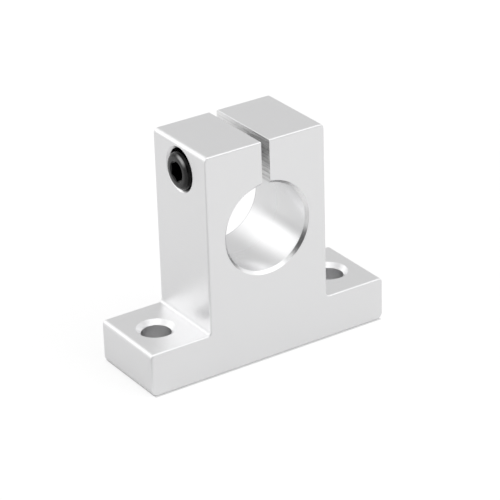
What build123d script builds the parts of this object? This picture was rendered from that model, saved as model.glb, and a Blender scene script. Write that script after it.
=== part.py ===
from build123d import *
import math
import os

# Clamping shaft support block with its clamp screw. All sizes are in millimetres.
# X runs along the base, Y along the shaft and Z up. The origin is the middle of the mounting face.

# Shaft bore
bore_diameter = 20.0
bore_height = 31.0
bore_chamfer = 0.7

# Extruded outline of the block
block_depth = 20.0
tower_wall = 5.0
flange_length = 15.0
flange_height = 10.0
top_wall = 1.4
base_corner_radius = 1.5
flange_top_radius = 1.0
foot_fillet_radius = 0.9
tower_top_radius = 1.2
face_edge_radius = 0.5

# Clamp slot, from the top of the tower into the bore
slot_width = 2.0
slot_lip_radius = 0.15

# Mounting holes, one in the middle of each flange
mounting_hole_diameter = 6.6
mounting_chamfer = 1.05

# Socket head cap screw that draws the two jaws together
thread_diameter = 5.0
screw_length = 20.0
screw_tip_chamfer = 0.7
head_diameter = 8.4
head_height = 5.0
head_edge_radius = 1.2
head_seat_chamfer = 0.2
socket_across_flats = 4.0
socket_depth = 2.5
socket_mouth_width = 0.15
socket_cone_angle = 120.0

# Fits of the screw in the block. The counterbore and through hole sit a little above the tapped
# hole, so the screw lies low in them.
screw_web = 1.15
counterbore_rise = 0.3
through_hole_clearance = 0.1
tapped_hole_clearance = 0.05
tapped_mouth_chamfer = 0.4
counterbore_clearance = 0.1
counterbore_edge_break = 0.5
head_protrusion = 0.8

# Cutters run this far past the faces that they open
overcut = 1.0

# Radii and places that follow from the values above
bore_radius = bore_diameter / 2
tower_width = bore_diameter + 2 * tower_wall
base_length = tower_width + 2 * flange_length
mounting_pitch = tower_width + flange_length
through_hole_radius = thread_diameter / 2 + counterbore_rise + through_hole_clearance
tapped_hole_radius = thread_diameter / 2 + tapped_hole_clearance
counterbore_radius = head_diameter / 2 + counterbore_rise + counterbore_clearance
counterbore_depth = head_height - head_protrusion
screw_height = bore_height + bore_radius + screw_web + tapped_hole_radius
counterbore_height = screw_height + counterbore_rise
block_height = counterbore_height + counterbore_radius + top_wall


def turned(points):
    """A solid of revolution about Z, from points of (radius, height)."""
    return revolve(Plane.XZ * make_face(Polyline(*points, close=True)), Axis.Z)


def laid_along_x(shape, start, height):
    """A shape made along Z, laid along X at a height, with its start at the given X."""
    return Pos(start, 0, height) * Rot(0, 90, 0) * shape


def block_outline():
    """The block as seen along the shaft: a base with two flanges and the tower between them."""
    base = Pos(0, flange_height / 2) * Rectangle(base_length, flange_height)
    tower = Pos(0, block_height / 2) * Rectangle(tower_width, block_height)
    outline = base + tower

    def corners(x, z):
        return outline.vertices().filter_by(lambda v: abs(abs(v.X) - x) + abs(v.Y - z) < 0.001)

    outline = fillet(corners(base_length / 2, 0), base_corner_radius)
    outline = fillet(corners(base_length / 2, flange_height), flange_top_radius)
    outline = fillet(corners(tower_width / 2, flange_height), foot_fillet_radius)
    return fillet(corners(tower_width / 2, block_height), tower_top_radius)


def bore_cutter():
    """The shaft bore along Y, with a chamfer at both mouths."""
    end = block_depth / 2
    mouth = bore_radius + bore_chamfer
    bore = turned(
        [
            (0, -end - overcut),
            (mouth, -end - overcut),
            (mouth, -end),
            (bore_radius, -end + bore_chamfer),
            (bore_radius, end - bore_chamfer),
            (mouth, end),
            (mouth, end + overcut),
            (0, end + overcut),
        ]
    )
    return Pos(0, 0, bore_height) * Rot(90, 0, 0) * bore


def slot_cutter():
    """The slot that splits the tower into two jaws, with its upper lips rounded over."""
    bottom = bore_height
    top = block_height + overcut
    slot = Pos(0, (bottom + top) / 2) * Rectangle(slot_width, top - bottom)
    lip_width = slot_width + 2 * slot_lip_radius
    lip_bottom = block_height - slot_lip_radius
    lips = Pos(0, (lip_bottom + top) / 2) * Rectangle(lip_width, top - lip_bottom)
    for side in (-1, 1):
        lips -= Pos(side * lip_width / 2, lip_bottom) * Circle(slot_lip_radius)
    return extrude(Plane.XZ * (slot + lips), block_depth / 2 + overcut, both=True)


def mounting_hole_cutter():
    """A through hole in a flange, with a wide chamfer under the fastener's head."""
    radius = mounting_hole_diameter / 2
    mouth = radius + mounting_chamfer
    return turned(
        [
            (0, -overcut),
            (radius, -overcut),
            (radius, flange_height - mounting_chamfer),
            (mouth, flange_height),
            (mouth, flange_height + overcut),
            (0, flange_height + overcut),
        ]
    )


def screw_hole_cutter():
    """Counterbore and through hole in the left jaw, and the tapped hole through the right jaw."""
    counterbore_mouth = counterbore_radius + counterbore_edge_break
    tapped_mouth = tapped_hole_radius + tapped_mouth_chamfer
    loose = turned(
        [
            (0, -overcut),
            (counterbore_mouth, -overcut),
            (counterbore_mouth, 0),
            (counterbore_radius, counterbore_edge_break),
            (counterbore_radius, counterbore_depth),
            (through_hole_radius, counterbore_depth),
            (through_hole_radius, tower_width / 2),
            (0, tower_width / 2),
        ]
    )
    tapped = turned(
        [
            (0, 0),
            (tapped_hole_radius, 0),
            (tapped_hole_radius, tower_width / 2 - tapped_mouth_chamfer),
            (tapped_mouth, tower_width / 2),
            (tapped_mouth, tower_width / 2 + overcut),
            (0, tower_width / 2 + overcut),
        ]
    )
    return laid_along_x(loose, -tower_width / 2, counterbore_height) + laid_along_x(tapped, 0, screw_height)


def make_support_block():
    """One length of aluminium extrusion, sawn off, drilled, bored and slotted."""
    block = extrude(Plane.XZ * block_outline(), block_depth / 2, both=True)
    block = fillet(block.faces().filter_by(Axis.Y).edges(), face_edge_radius)
    block -= bore_cutter()
    block -= slot_cutter()
    for side in (-1, 1):
        block -= Pos(side * mounting_pitch / 2, 0, 0) * mounting_hole_cutter()
    block -= screw_hole_cutter()
    return block


def socket_cutter():
    """The hexagon socket: a chamfered mouth, flats for the key and a drilled point below them."""
    slope = 1 / math.tan(math.radians(socket_cone_angle / 2))
    drill_radius = socket_across_flats / 2
    corner_radius = drill_radius / math.cos(math.pi / 6)
    mouth = corner_radius + socket_mouth_width
    hexagon = RegularPolygon(drill_radius, 6, major_radius=False, rotation=30)
    flats = extrude(hexagon, socket_depth)
    point = turned([(0, 0), (drill_radius, socket_depth), (0, socket_depth + drill_radius * slope)])
    chamfer = turned([(0, -overcut), (mouth, -overcut), (mouth, 0), (0, mouth * slope)])
    return flats + point + chamfer


def make_clamp_screw():
    """Socket head cap screw, its head in the counterbore and its shank in the tapped hole."""
    head_radius = head_diameter / 2
    shank_radius = thread_diameter / 2
    tip = head_height + screw_length
    screw = turned(
        [
            (0, 0),
            (head_radius, 0),
            (head_radius, head_height - head_seat_chamfer),
            (head_radius - head_seat_chamfer, head_height),
            (shank_radius, head_height),
            (shank_radius, tip - screw_tip_chamfer),
            (shank_radius - screw_tip_chamfer, tip),
            (0, tip),
        ]
    )
    front_edge = screw.edges().filter_by(GeomType.CIRCLE).sort_by(Axis.Z)[0]
    screw = fillet(front_edge, head_edge_radius)
    screw -= socket_cutter()
    return laid_along_x(screw, -tower_width / 2 - head_protrusion, screw_height)


os.makedirs("parts", exist_ok=True)
export_step(make_support_block(), "parts/support_block.step")
export_step(make_clamp_screw(), "parts/clamp_screw.step")
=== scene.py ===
import bpy
import bmesh
import math
from mathutils import Matrix, Vector


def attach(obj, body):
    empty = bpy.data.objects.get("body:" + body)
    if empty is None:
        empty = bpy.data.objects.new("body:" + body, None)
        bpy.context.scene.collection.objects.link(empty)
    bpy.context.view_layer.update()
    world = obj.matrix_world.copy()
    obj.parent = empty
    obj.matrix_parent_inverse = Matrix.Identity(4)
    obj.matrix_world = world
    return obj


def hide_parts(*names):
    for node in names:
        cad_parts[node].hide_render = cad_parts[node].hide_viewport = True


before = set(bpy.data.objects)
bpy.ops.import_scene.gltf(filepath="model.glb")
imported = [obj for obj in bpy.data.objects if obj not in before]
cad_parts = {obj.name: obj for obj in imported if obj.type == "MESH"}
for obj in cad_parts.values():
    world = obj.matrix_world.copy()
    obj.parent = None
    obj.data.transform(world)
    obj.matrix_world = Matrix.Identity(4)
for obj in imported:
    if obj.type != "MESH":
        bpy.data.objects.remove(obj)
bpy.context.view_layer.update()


# The support block: one length of aluminium extrusion, sawn off, bored, drilled and slotted, then
# etched matt and clear anodised. Its shape stays as the frame has it, and its finish follows how
# each face was cut: even grain outside, turned rings in the bore, saw marks in the slot. Painted
# shade deepens the slot's saw-mark streaks and darkens the bore's rear edge.
bore_height = 0.031
bore_radius = 0.010
bore_mouth_radius = 0.0107
block_half_depth = 0.010
slot_half_width = 0.001
slot_bottom = 0.0406
flange_top = 0.010
flange_start = 0.0156
hole_place = 0.0225
hole_radius = 0.0033
hole_zone_top = 0.011
counterbore_height = 0.045
counterbore_mouth_radius = 0.0051
counterbore_zone_end = -0.0107
wall_margin = 0.00003
flat_margin = 0.00002
sawn_face_margin = 0.00005
rear_edge_width = 0.00085
rear_edge_soft = 0.00006

etched_aluminium = (0.92, 0.92, 0.925, 1.0)
# Painted shade: a dark line along the bore's rear edge
painted_rear_edge_shade = (0.60, 0.60, 0.61, 1.0)
chamfer_roughness = 0.26
drilled_roughness = 0.32

# Each roughness pair goes by patches outside, from front to back in the bore, and in the slot
# from its depth to its upper front
outer_roughness = (0.33, 0.39)
bore_roughness = (0.27, 0.39)
slot_roughness = (0.36, 0.50)
bore_back = 0.005
bore_back_soft = 0.005
slot_front = -0.003
slot_front_soft = 0.004
slot_upper = 0.0455
slot_upper_soft = 0.0040

# Dark streaks along the saw marks, mostly on the right wall of the slot and towards its front:
# real saw-mark streaks, with painted shade that deepens them high up and at the slot's front
streak_level = 0.52
streak_level_soft = 0.08
streak_and_painted_shade_darkness = (0.18, 0.28)
left_wall_streak_and_shade_share = 0.07
back_streak_and_shade_share = 0.3


def new_material(name):
    """Starts a material that is built from nodes."""
    material = bpy.data.materials.new(name)
    material.use_nodes = True
    return material


def add(kind, **settings):
    """Adds a node to the tree in hand, with its settings."""
    node = tree.nodes.new(kind)
    for name, value in settings.items():
        setattr(node, name, value)
    return node


def feed(socket, value):
    """Sets a socket to a number, or links another socket to it."""
    if isinstance(value, bpy.types.NodeSocket):
        tree.links.new(value, socket)
    else:
        socket.default_value = value


def maths(operation, *values):
    """The result of a sum on numbers or sockets."""
    node = add("ShaderNodeMath", operation=operation)
    for socket, value in zip(node.inputs, values):
        feed(socket, value)
    return node.outputs[0]


def below(value, limit, soft=0.00003):
    """One where the value is under the limit, nought above it, with a short soft step."""
    node = add("ShaderNodeMapRange", interpolation_type="SMOOTHSTEP")
    feed(node.inputs["Value"], value)
    node.inputs["From Min"].default_value = limit - soft
    node.inputs["From Max"].default_value = limit + soft
    node.inputs["To Min"].default_value = 1.0
    node.inputs["To Max"].default_value = 0.0
    return node.outputs["Result"]


def above(value, limit, soft=0.00003):
    """One where the value is over the limit, nought under it."""
    return maths("SUBTRACT", 1.0, below(value, limit, soft))


def both(zone, other):
    """One where both zones are one."""
    return maths("MULTIPLY", zone, other)


def between(share, start, end):
    """The start value where the share is nought, and the end value where it is one."""
    return maths("ADD", start, maths("MULTIPLY", share, end - start))


def choose(zone, inside, outside):
    """The inside value where the zone is one, and the outside value where it is nought."""
    node = add("ShaderNodeMix", data_type="FLOAT")
    feed(node.inputs["Factor"], zone)
    feed(node.inputs["A"], outside)
    feed(node.inputs["B"], inside)
    return node.outputs["Result"]


def choose_colour(zone, inside, outside):
    """The inside colour where the zone is one, and the outside colour where it is nought."""
    # The node has sockets for every kind of value: 6 and 7 take the colours, and 2 gives one
    node = add("ShaderNodeMix", data_type="RGBA")
    feed(node.inputs[0], zone)
    feed(node.inputs[6], outside)
    feed(node.inputs[7], inside)
    return node.outputs[2]


def object_place():
    """The place on the object, whole and as its three parts."""
    whole = add("ShaderNodeTexCoord").outputs["Object"]
    split = add("ShaderNodeSeparateXYZ")
    feed(split.inputs[0], whole)
    return whole, *split.outputs


def from_axis(first, second, first_place, second_place):
    """Distance from an axis that passes through the given place."""
    across = maths("SUBTRACT", first, first_place)
    along = maths("SUBTRACT", second, second_place)
    squares = maths("ADD", maths("MULTIPLY", across, across), maths("MULTIPLY", along, along))
    return maths("SQRT", squares)


def noise(coordinates, scale, detail=2.0, roughness=0.5):
    """Uneven cloudiness between nought and one, with its scale in specks to the metre."""
    node = add("ShaderNodeTexNoise")
    feed(node.inputs["Vector"], coordinates)
    node.inputs["Scale"].default_value = scale
    node.inputs["Detail"].default_value = detail
    node.inputs["Roughness"].default_value = roughness
    return node.outputs["Fac"]


def marks(counts, detail=2.0, roughness=0.5):
    """Tool marks, from up to three places, each with its own count of marks to the metre."""
    node = add("ShaderNodeCombineXYZ")
    for socket, (value, count) in zip(node.inputs, counts):
        feed(socket, maths("MULTIPLY", value, count))
    return noise(node.outputs[0], 1.0, detail, roughness)


def raised(height):
    """The direction of the surface when it is raised by a height in metres."""
    node = add("ShaderNodeBump")
    node.inputs["Strength"].default_value = 1.0
    node.inputs["Distance"].default_value = 1.0
    feed(node.inputs["Height"], height)
    return node.outputs["Normal"]


aluminium = new_material("clear_anodised_aluminium")
tree = aluminium.node_tree
surface = tree.nodes["Principled BSDF"]
place, x, y, z = object_place()
side = maths("ABSOLUTE", x)
bore_distance = from_axis(x, z, 0.0, bore_height)
hole_distance = from_axis(side, y, hole_place, 0.0)
counterbore_distance = from_axis(y, z, 0.0, counterbore_height)

bore_zone = below(bore_distance, bore_radius + wall_margin)
mouth_zone = maths("SUBTRACT", below(bore_distance, bore_mouth_radius - flat_margin), bore_zone)
slot_zone = both(below(side, slot_half_width + wall_margin), above(z, slot_bottom))
hole_zone = both(below(hole_distance, hole_radius + wall_margin), below(z, hole_zone_top))
counterbore_zone = both(
    below(counterbore_distance, counterbore_mouth_radius + wall_margin), below(x, counterbore_zone_end)
)
flange_zone = both(above(side, flange_start), above(z, flange_top - flat_margin))
drawn_zone = below(maths("ABSOLUTE", y), block_half_depth - sawn_face_margin)

grain = noise(place, 4200.0, detail=3.0, roughness=0.6)
die_lines = both(drawn_zone, marks([(x, 6500.0), (y, 60.0), (z, 6500.0)], detail=1.0))
turned_rings = marks([(x, 0.0), (y, 2600.0), (bore_distance, 300.0)])
cutter_rings = marks([(hole_distance, 1800.0), (side, 60.0), (y, 60.0)])
saw_marks = marks([(x, 900.0), (y, 30.0), (z, 2250.0)], roughness=0.65)
cutter_marks = marks([(x, 2500.0), (counterbore_distance, 2500.0)])
drill_rings = marks([(z, 2200.0)])

grain_height = maths("MULTIPLY", grain, 0.0000022)
relief = maths("ADD", grain_height, maths("MULTIPLY", die_lines, 0.0000300))
milled_relief = maths("ADD", grain_height, maths("MULTIPLY", cutter_rings, 0.0000500))
relief = choose(flange_zone, milled_relief, relief)
for zone, pattern, height in (
    (bore_zone, turned_rings, 0.0000030),
    (mouth_zone, turned_rings, 0.0000010),
    (hole_zone, drill_rings, 0.0000060),
    (counterbore_zone, cutter_marks, 0.0000050),
    (slot_zone, saw_marks, 0.0001100),
):
    relief = choose(zone, maths("MULTIPLY", pattern, height), relief)

to_back = above(y, bore_back, bore_back_soft)
to_front = below(y, slot_front, slot_front_soft)
high_up = above(z, slot_upper, slot_upper_soft)
patches = noise(place, 190.0)
roughness = between(patches, *outer_roughness)
for zone, finish in (
    (bore_zone, between(to_back, *bore_roughness)),
    (mouth_zone, chamfer_roughness),
    (hole_zone, drilled_roughness),
    (counterbore_zone, drilled_roughness),
    (slot_zone, between(both(to_front, high_up), *slot_roughness)),
):
    roughness = choose(zone, finish, roughness)

# The streaks' colour is partly painted shade: darker high up and at the slot's front, mostly on the
# right wall
streaks = above(saw_marks, streak_level, streak_level_soft)
streak_and_shade_depth = between(high_up, *streak_and_painted_shade_darkness)
streak_and_shade_depth = maths("MULTIPLY", streak_and_shade_depth, between(below(x, 0.0), 1.0, left_wall_streak_and_shade_share))
streak_and_shade_depth = maths("MULTIPLY", streak_and_shade_depth, between(to_front, back_streak_and_shade_share, 1.0))
saw_streaks_and_painted_shade = maths("SUBTRACT", 1.0, maths("MULTIPLY", streaks, streak_and_shade_depth))
metal_colour = choose_colour(slot_zone, saw_streaks_and_painted_shade, etched_aluminium)
# Painted shade: a darker band along the bore's rear edge
rear_edge = both(bore_zone, above(y, block_half_depth - rear_edge_width, rear_edge_soft))
metal_colour = choose_colour(rear_edge, painted_rear_edge_shade, metal_colour)

surface.inputs["Base Color"].default_value = etched_aluminium
feed(surface.inputs["Base Color"], metal_colour)
surface.inputs["Metallic"].default_value = 1.0
feed(surface.inputs["Roughness"], roughness)
feed(surface.inputs["Normal"], raised(relief))

support_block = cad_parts["support_block"]
support_block.material_slots[0].material = aluminium


# The clamp screw: a socket head cap screw of black oxide steel, with a cold-forged, knurled head
# and a rolled thread. Its head sits in the counterbore and its thread draws the two jaws together.
head_front = -0.0158
screw_height = 0.0447
head_height = 0.0050
head_radius = 0.0042
head_edge_radius = 0.0012
head_edge_steps = 6
head_seat_chamfer = 0.0002
neck_fillet = 0.0003
screw_length = 0.020
thread_radius = 0.0025
thread_root_radius = 0.00203
thread_pitch = 0.0008
thread_steps = 48
thread_run_out = 1.5 * thread_pitch
spare_turns = 2
tip_chamfer = 0.0007
socket_half_flats = 0.0020
socket_depth = 0.0025
socket_mouth_radius = 0.00246
socket_ring_radius = socket_half_flats * 1.01
socket_ring_depth = 0.0003
cone_slope = math.tan(math.radians(30.0))
knurl_grooves = 48
knurl_depth = 0.00010
knurl_ramp = 0.00015
knurl_start = head_edge_radius + knurl_ramp
knurl_seat_gap = 0.0003
knurl_end = head_height - head_seat_chamfer - knurl_seat_gap
pole_radius = 0.0000001
weld_distance = 0.0000005
cut_distance = 0.0000002
touching = 0.000001
sharp_turn = math.radians(28.0)


def wind(mesh, outline, steps, turns=1, pitch=0.0, closed=False):
    """Turns an outline of (radius, height) points about Z, rising by the pitch in each turn."""
    points = [mesh.verts.new((radius, 0.0, height)) for radius, height in outline]
    following = points[1:] + points[:1] if closed else points[1:]
    edges = [mesh.edges.new(pair) for pair in zip(points, following)]
    bmesh.ops.spin(
        mesh,
        geom=points + edges,
        cent=(0.0, 0.0, 0.0),
        axis=(0.0, 0.0, 1.0),
        dvec=(0.0, 0.0, pitch / steps),
        angle=math.tau * turns,
        steps=steps * turns,
        use_merge=pitch == 0.0,
        use_duplicate=False,
    )


def polar(point):
    """Distance of a mesh point from Z, and its angle round it."""
    return math.hypot(point.co.x, point.co.y), math.atan2(point.co.y, point.co.x)


def set_radius(point, radius):
    """Moves a mesh point to another distance from Z."""
    angle = polar(point)[1]
    point.co.x = radius * math.cos(angle)
    point.co.y = radius * math.sin(angle)


def open_ring(mesh, height):
    """The open edges of a mesh at a height."""
    return [
        edge
        for edge in mesh.edges
        if edge.is_boundary and all(abs(point.co.z - height) < touching for point in edge.verts)
    ]


def lay_in_jaws(mesh, start):
    """Lays a turned mesh on the screw's axis from a place on X, smooth but for its sharp edges."""
    bmesh.ops.recalc_face_normals(mesh, faces=mesh.faces)
    laid = Matrix.Translation((start, 0.0, screw_height)) @ Matrix.Rotation(math.radians(90.0), 4, "Y")
    bmesh.ops.transform(mesh, matrix=laid, verts=mesh.verts)
    for face in mesh.faces:
        face.smooth = True
    for edge in mesh.edges:
        if len(edge.link_faces) == 2 and edge.calc_face_angle() > sharp_turn:
            edge.smooth = False


def finished(mesh, name):
    """Puts a mesh into the scene as an object at the origin."""
    data = bpy.data.meshes.new(name)
    mesh.to_mesh(data)
    mesh.free()
    piece = bpy.data.objects.new(name, data)
    bpy.context.scene.collection.objects.link(piece)
    return piece


head_outline = [
    (pole_radius, socket_depth + socket_half_flats * cone_slope),
    (socket_half_flats / 2, socket_depth + socket_half_flats / 2 * cone_slope),
    (socket_half_flats, socket_depth),
    (socket_ring_radius, socket_depth),
    (socket_ring_radius, socket_ring_depth),
    (socket_mouth_radius, 0.0),
    ((socket_mouth_radius + head_radius - head_edge_radius) / 2, 0.0),
]
for step in range(head_edge_steps + 1):
    turn = math.pi / 2 * step / head_edge_steps
    outwards = head_edge_radius * math.sin(turn)
    upwards = head_edge_radius - head_edge_radius * math.cos(turn)
    head_outline.append((head_radius - head_edge_radius + outwards, upwards))
head_outline += [
    (head_radius, knurl_start),
    (head_radius, knurl_start + knurl_ramp),
    (head_radius, knurl_end - knurl_ramp),
    (head_radius, knurl_end),
    (head_radius, head_height - head_seat_chamfer),
    (head_radius - head_seat_chamfer, head_height),
    (thread_radius + neck_fillet, head_height),
    (thread_radius, head_height + neck_fillet),
]
screw_mesh = bmesh.new()
wind(screw_mesh, head_outline, 2 * knurl_grooves)
bmesh.ops.remove_doubles(screw_mesh, verts=screw_mesh.verts, dist=weld_distance)

# The socket's two rings go out to the six flats, and the head's side goes in at each groove
for point in screw_mesh.verts:
    radius, angle = polar(point)
    height = point.co.z
    if abs(radius - socket_ring_radius) < touching and height <= socket_depth + touching:
        sector = (angle + math.pi / 6) % (math.pi / 3) - math.pi / 6
        wall = socket_half_flats / math.cos(math.pi / 6 - abs(sector))
        set_radius(point, wall)
        if height < socket_depth - touching:
            point.co.z = (socket_mouth_radius - wall) * cone_slope
    groove = round(angle / math.tau * 2 * knurl_grooves) % 2
    on_knurl = knurl_start + touching < height < knurl_end - touching
    if groove and on_knurl and radius > head_radius - touching:
        set_radius(point, head_radius - knurl_depth)

thread_start = head_height + neck_fillet
thread_end = head_height + screw_length
thread_turns = round((thread_end - thread_start) / thread_pitch) + spare_turns
first_root = thread_start - thread_run_out
thread_profile = [
    (thread_root_radius, 0.0),
    (thread_root_radius, 0.12),
    (thread_radius, 0.44),
    (thread_radius, 0.56),
    (thread_root_radius, 0.88),
    (thread_root_radius, 1.0),
]
thread_outline = [(radius, first_root + share * thread_pitch) for radius, share in thread_profile]
thread_mesh = bmesh.new()
wind(thread_mesh, thread_outline, thread_steps, thread_turns, thread_pitch)
bmesh.ops.remove_doubles(thread_mesh, verts=thread_mesh.verts, dist=touching)
for height, way_out in ((thread_start, -1.0), (thread_end, 1.0)):
    bmesh.ops.bisect_plane(
        thread_mesh,
        geom=list(thread_mesh.verts) + list(thread_mesh.edges) + list(thread_mesh.faces),
        dist=cut_distance,
        plane_co=(0.0, 0.0, height),
        plane_no=(0.0, 0.0, way_out),
        clear_outer=True,
    )
for point in thread_mesh.verts:
    radius = polar(point)[0]
    run_out = min(1.0, max(0.0, 1.0 - (point.co.z - thread_start) / thread_run_out))
    radius = radius + (thread_radius - radius) * run_out
    point_cone = thread_radius - tip_chamfer + (thread_end - point.co.z)
    set_radius(point, min(radius, point_cone))
thread_data = bpy.data.meshes.new("thread")
thread_mesh.to_mesh(thread_data)
thread_mesh.free()
screw_mesh.from_mesh(thread_data)
bpy.data.meshes.remove(thread_data)

seat_ring = open_ring(screw_mesh, thread_start)
tip_ring = open_ring(screw_mesh, thread_end)
bmesh.ops.bridge_loops(screw_mesh, edges=seat_ring)
bmesh.ops.contextual_create(screw_mesh, geom=tip_ring)
bmesh.ops.remove_doubles(screw_mesh, verts=screw_mesh.verts, dist=weld_distance)
lay_in_jaws(screw_mesh, head_front)
cap_screw = finished(screw_mesh, "clamp_screw_detailed")

front_skin = 0.00004
front_skin_soft = 0.00002
socket_rim_soft = 0.00005
rim_inner_radius = head_radius - 0.0009
rim_inner_soft = 0.0002
rim_outer_radius = head_radius - 0.0003
rim_outer_soft = 0.0001
# Painted shadow: the socket's walls are painted darker than the oxide
painted_socket_shadow = 0.022
# Painted shadow: the head's side, down in the counterbore, is painted near black
painted_head_side_shadow = 0.014
# The oxide's tone, and painted light: the head's face is painted lighter towards +Y and darker towards
# -Y
oxide_shade = 0.052
painted_light_slope = 5.0
mottle_shade = 0.030
# Painted light on the rim: painted shade darkens it, with a bright patch painted where the highlight
# falls on its upper front
painted_rim_shade = 0.040
painted_highlight_shade = (0.20, 0.32)
painted_highlight_y = -0.0017
painted_highlight_z = screw_height + 0.0032
painted_highlight_radius = 0.0013
painted_highlight_soft = 0.0009
steel_roughness = (0.20, 0.34)
oxide_grain_height = 0.0000030

black_oxide = new_material("black_oxide_steel")
tree = black_oxide.node_tree
surface = tree.nodes["Principled BSDF"]
place, x, y, z = object_place()
screw_distance = from_axis(y, z, 0.0, screw_height)
mottle = noise(place, 900.0, detail=3.0)
oxide_grain = noise(place, 5000.0, detail=3.0, roughness=0.6)
behind_front = above(x, head_front + front_skin, front_skin_soft)
socket_zone = both(below(screw_distance, socket_mouth_radius, socket_rim_soft), behind_front)
off_flat = above(screw_distance, rim_inner_radius, rim_inner_soft)
head_side = above(screw_distance, rim_outer_radius, rim_outer_soft)
rim_zone = maths("SUBTRACT", off_flat, head_side)
# Oxide tone with random mottle, plus painted light that grows towards +Y
oxide_and_painted_light = maths("ADD", oxide_shade, maths("MULTIPLY", y, painted_light_slope))
oxide_and_painted_light = maths("ADD", oxide_and_painted_light, maths("MULTIPLY", mottle, mottle_shade))
# Painted highlight: a bright patch on the rim's upper front, laid on the rim's painted shade
painted_highlight = below(from_axis(y, z, painted_highlight_y, painted_highlight_z), painted_highlight_radius, painted_highlight_soft)
rim_painted_light = maths("MULTIPLY", painted_highlight, between(mottle, *painted_highlight_shade))
rim_painted_light = maths("ADD", painted_rim_shade, rim_painted_light)
# The rim takes its painted shade and highlight, and the head's side its painted shadow
shade = choose(rim_zone, rim_painted_light, choose(head_side, painted_head_side_shadow, oxide_and_painted_light))
# Painted shadow in the socket
feed(surface.inputs["Base Color"], choose(socket_zone, painted_socket_shadow, shade))
surface.inputs["Metallic"].default_value = 1.0
feed(surface.inputs["Roughness"], between(mottle, *steel_roughness))
feed(surface.inputs["Normal"], raised(maths("MULTIPLY", oxide_grain, oxide_grain_height)))
cap_screw.data.materials.append(black_oxide)
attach(cap_screw, "screw")
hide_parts("clamp_screw")


# The tapped thread in the right jaw: the block's own aluminium, left between the tap's cuts. It
# shows in the open end of the hole, past the screw's tip.
ridge_start = 0.0097
ridge_foot_radius = 0.00258
ridge_crest_radius = 0.00212
ridge_turns = 6
ridge_length = thread_pitch * ridge_turns
ridge_fade = 0.4 * thread_pitch
ridge_end_share = 0.1

ridge_profile = [
    (ridge_foot_radius, -0.30),
    (ridge_crest_radius, -0.07),
    (ridge_crest_radius, 0.07),
    (ridge_foot_radius, 0.30),
]
ridge_outline = [(radius, share * thread_pitch) for radius, share in ridge_profile]
ridge_mesh = bmesh.new()
wind(ridge_mesh, ridge_outline, thread_steps, ridge_turns, thread_pitch, closed=True)
open_edges = [edge for edge in ridge_mesh.edges if edge.is_boundary]
for far_end in (False, True):
    ring = [edge for edge in open_edges if (edge.verts[0].co.z > thread_pitch) == far_end]
    bmesh.ops.contextual_create(ridge_mesh, geom=ring)
for point in ridge_mesh.verts:
    radius = polar(point)[0]
    to_end = min(point.co.z, ridge_length - point.co.z) / ridge_fade
    ridge_share = min(1.0, max(ridge_end_share, to_end))
    set_radius(point, ridge_foot_radius - (ridge_foot_radius - radius) * ridge_share)
lay_in_jaws(ridge_mesh, ridge_start)
tapped_thread = finished(ridge_mesh, "tapped_thread")
tapped_thread.data.materials.append(aluminium)
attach(tapped_thread, "block")


# The floor: a plain white sheet under the block. It looks nearly white to the camera and in
# reflections, keeps the block's soft shadow, and is dark in a thin line where the block touches it.
# That line is a band painted round the block's outline, where the glow is held back so that the
# floor's own contact shadow shows in full.
floor_half = 3.0
floor_colour = (0.74, 0.74, 0.74, 1.0)
camera_glow = 1.18
camera_glow_share = 0.65
contact_glow_share = 0.05
gloss_glow_share = 0.15
shadow_reach = 0.20
shadow_reach_soft = 0.08
contact_half_length = 0.0291
contact_width = 0.00030
contact_width_soft = 0.00014

floor_mesh = bmesh.new()
bmesh.ops.create_grid(floor_mesh, x_segments=1, y_segments=1, size=floor_half)
floor = finished(floor_mesh, "floor")
paper = new_material("white_paper")
tree = paper.node_tree
tree.nodes.clear()
output = add("ShaderNodeOutputMaterial")
matt = add("ShaderNodeBsdfDiffuse")
matt.inputs["Color"].default_value = floor_colour
glow = add("ShaderNodeEmission")
rays = add("ShaderNodeLightPath").outputs
x, y = object_place()[1:3]
beyond_end = maths("SUBTRACT", maths("ABSOLUTE", x), contact_half_length)
beyond_face = maths("SUBTRACT", maths("ABSOLUTE", y), block_half_depth)
# Painted contact line: a thin band round the block's outline where the glow is held back, so the floor's
# own shadow shows dark
contact_zone = below(maths("MAXIMUM", beyond_end, beyond_face), contact_width, contact_width_soft)
near_block = below(from_axis(x, y, 0.0, 0.0), shadow_reach, shadow_reach_soft)
seen_share = choose(contact_zone, contact_glow_share, choose(near_block, camera_glow_share, 1.0))
seen = maths("MULTIPLY", rays["Is Camera Ray"], seen_share)
reflected = maths("MAXIMUM", rays["Is Glossy Ray"], rays["Is Transmission Ray"])
reflected = maths("MULTIPLY", reflected, gloss_glow_share)
feed(glow.inputs["Strength"], between(rays["Is Camera Ray"], 1.0, camera_glow))
sheet = add("ShaderNodeMixShader")
feed(sheet.inputs["Fac"], maths("ADD", seen, reflected))
feed(sheet.inputs[1], matt.outputs[0])
feed(sheet.inputs[2], glow.outputs[0])
feed(output.inputs["Surface"], sheet.outputs[0])
floor.data.materials.append(paper)


# The studio: a pale room that gives even light, and soft boxes round the block. Some show in the
# metal only, and two lamps light the floor only. A dark camera stand shows in the metal's
# reflections only, and so does a grey sheet of painted shade on the floor at the block's front
# left, which darkens the floor there as the metal mirrors it.
room_brightness = 0.65
stage_middle = Vector((0.0, 0.0, 0.025))

world = bpy.data.worlds.new("pale_room")
bpy.context.scene.world = world
world.use_nodes = True
tree = world.node_tree
room = tree.nodes["Background"]
room.inputs["Color"].default_value = (1.0, 1.0, 1.0, 1.0)
rays = add("ShaderNodeLightPath").outputs
feed(room.inputs["Strength"], choose(rays["Is Camera Ray"], 1.0, room_brightness))


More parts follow.
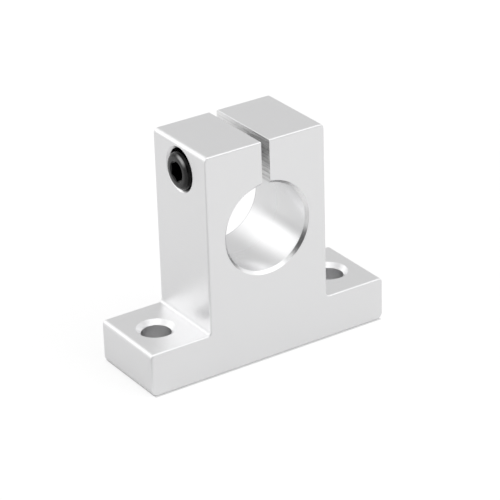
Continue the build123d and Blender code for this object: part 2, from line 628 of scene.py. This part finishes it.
def directions(azimuth, elevation):
    """The level, upright and outward directions of a panel round the block, from degrees."""
    turn, lift = math.radians(azimuth), math.radians(elevation)
    outward = Vector((math.sin(turn) * math.cos(lift), -math.cos(turn) * math.cos(lift), math.sin(lift)))
    level = Vector((0.0, 0.0, 1.0)).cross(outward).normalized()
    return level, outward.cross(level), outward


def facing(azimuth, elevation, distance):
    """Place and turn of a panel that faces the block, from its angles in degrees."""
    level, upright, outward = directions(azimuth, elevation)
    axes = Matrix((level, upright, outward)).transposed().to_4x4()
    return Matrix.Translation(stage_middle + outward * distance) @ axes


def soft_box(
    name, azimuth, elevation, distance, width, height, brightness, on_metal=True, on_floor=True
):
    """A flat rectangular lamp that faces the block, and lights the metal, the floor or both."""
    lamp = bpy.data.lights.new(name, "AREA")
    lamp.shape = "RECTANGLE"
    lamp.size = width
    lamp.size_y = height
    lamp.energy = brightness * math.pi * width * height
    box = bpy.data.objects.new(name, lamp)
    bpy.context.scene.collection.objects.link(box)
    box.matrix_world = facing(azimuth, elevation, distance)
    box.visible_glossy = on_metal
    box.visible_diffuse = on_floor


# Azimuth and elevation in degrees, distance, width, height and brightness of each lamp
soft_box("back_soft_box", 211, 29, 1.1, 1.3, 0.6, 0.52, on_floor=False)
soft_box("back_scrim", 214, 32, 1.15, 1.95, 0.95, 0.11, on_floor=False)
soft_box("left_soft_box", 283, 32, 1.2, 1.3, 1.1, 0.40)
soft_box("low_left_lamp", 250, 15, 1.2, 0.7, 0.5, 0.42)
soft_box("front_soft_box", 38, 50, 1.2, 1.2, 0.7, 0.68)
soft_box("front_floor_lamp", 45, 30, 1.2, 1.2, 0.8, 1.15, on_metal=False)
soft_box("near_floor_lamp", -20, 40, 0.45, 0.5, 0.4, 0.22, on_metal=False)
soft_box("high_left_lamp", 316, 58, 1.2, 0.6, 0.45, 0.75, on_floor=False)
soft_box("top_soft_box", 0, 86, 1.2, 0.9, 0.9, 0.64)
soft_box("right_soft_box", 90, 20, 1.2, 1.2, 0.8, 0.38)


def reflected_card(name, width, height, place, sheet_name, sheet_colour):
    """A flat matt card that shows in the metal's reflections only: the camera stand, and a sheet of
    painted shade on the floor.
    """
    mesh = bmesh.new()
    bmesh.ops.create_grid(mesh, x_segments=1, y_segments=1, size=0.5)
    bmesh.ops.scale(mesh, vec=(width, height, 1.0), verts=mesh.verts)
    bmesh.ops.transform(mesh, matrix=place, verts=mesh.verts)
    card = finished(mesh, name)
    card.visible_camera = False
    card.visible_diffuse = False
    card.visible_shadow = False
    sheet_material = new_material(sheet_name)
    sheet_surface = sheet_material.node_tree.nodes["Principled BSDF"]
    sheet_surface.inputs["Base Color"].default_value = sheet_colour
    sheet_surface.inputs["Roughness"].default_value = 1.0
    card.data.materials.append(sheet_material)
    return card


black = (0.01, 0.01, 0.01, 1.0)
stand = reflected_card("camera_stand", 0.40, 0.68, facing(-44, 19, 0.8), "black_cloth", black)

# Painted shade: a grey sheet on the floor at the block's front left, seen only in the metal's
# reflections
grey = (0.60, 0.60, 0.60, 1.0)
floor_shade_turn = Matrix.Rotation(math.radians(-57.0), 4, "Z")
floor_shade_place = floor_shade_turn @ Matrix.Translation((0.0, -0.411, 0.0004))
reflected_floor_shade_sheet = reflected_card("reflected_floor_shade", 0.11, 0.75, floor_shade_place, "reflected_floor_shade", grey)


# The camera: a long lens half a metre away, above and to the left of the block, as in the
# photograph. Its place was fitted to the block's edges, and it is rolled by a degree or two.
camera_azimuth = -32.991
camera_elevation = 26.399
camera_roll = math.radians(-1.76)
camera_distance = 0.531989
camera_target = Vector((0.00193, 0.0, 0.021237))
lens_in_pixels = 2467.43
frame_in_pixels = 500
sensor_width = 36.0

level, upright, back = directions(camera_azimuth, camera_elevation)
right = math.cos(camera_roll) * level + math.sin(camera_roll) * upright
up = math.cos(camera_roll) * upright - math.sin(camera_roll) * level

camera_data = bpy.data.cameras.new("camera")
camera_data.sensor_width = sensor_width
camera_data.lens = lens_in_pixels / frame_in_pixels * sensor_width
camera_data.clip_start = 0.01
camera_data.clip_end = 20.0
camera = bpy.data.objects.new("camera", camera_data)
bpy.context.scene.collection.objects.link(camera)
axes = Matrix((right, up, back)).transposed().to_4x4()
camera.matrix_world = Matrix.Translation(camera_target + back * camera_distance) @ axes
bpy.context.scene.camera = camera

bpy.context.scene.view_settings.view_transform = "Standard"
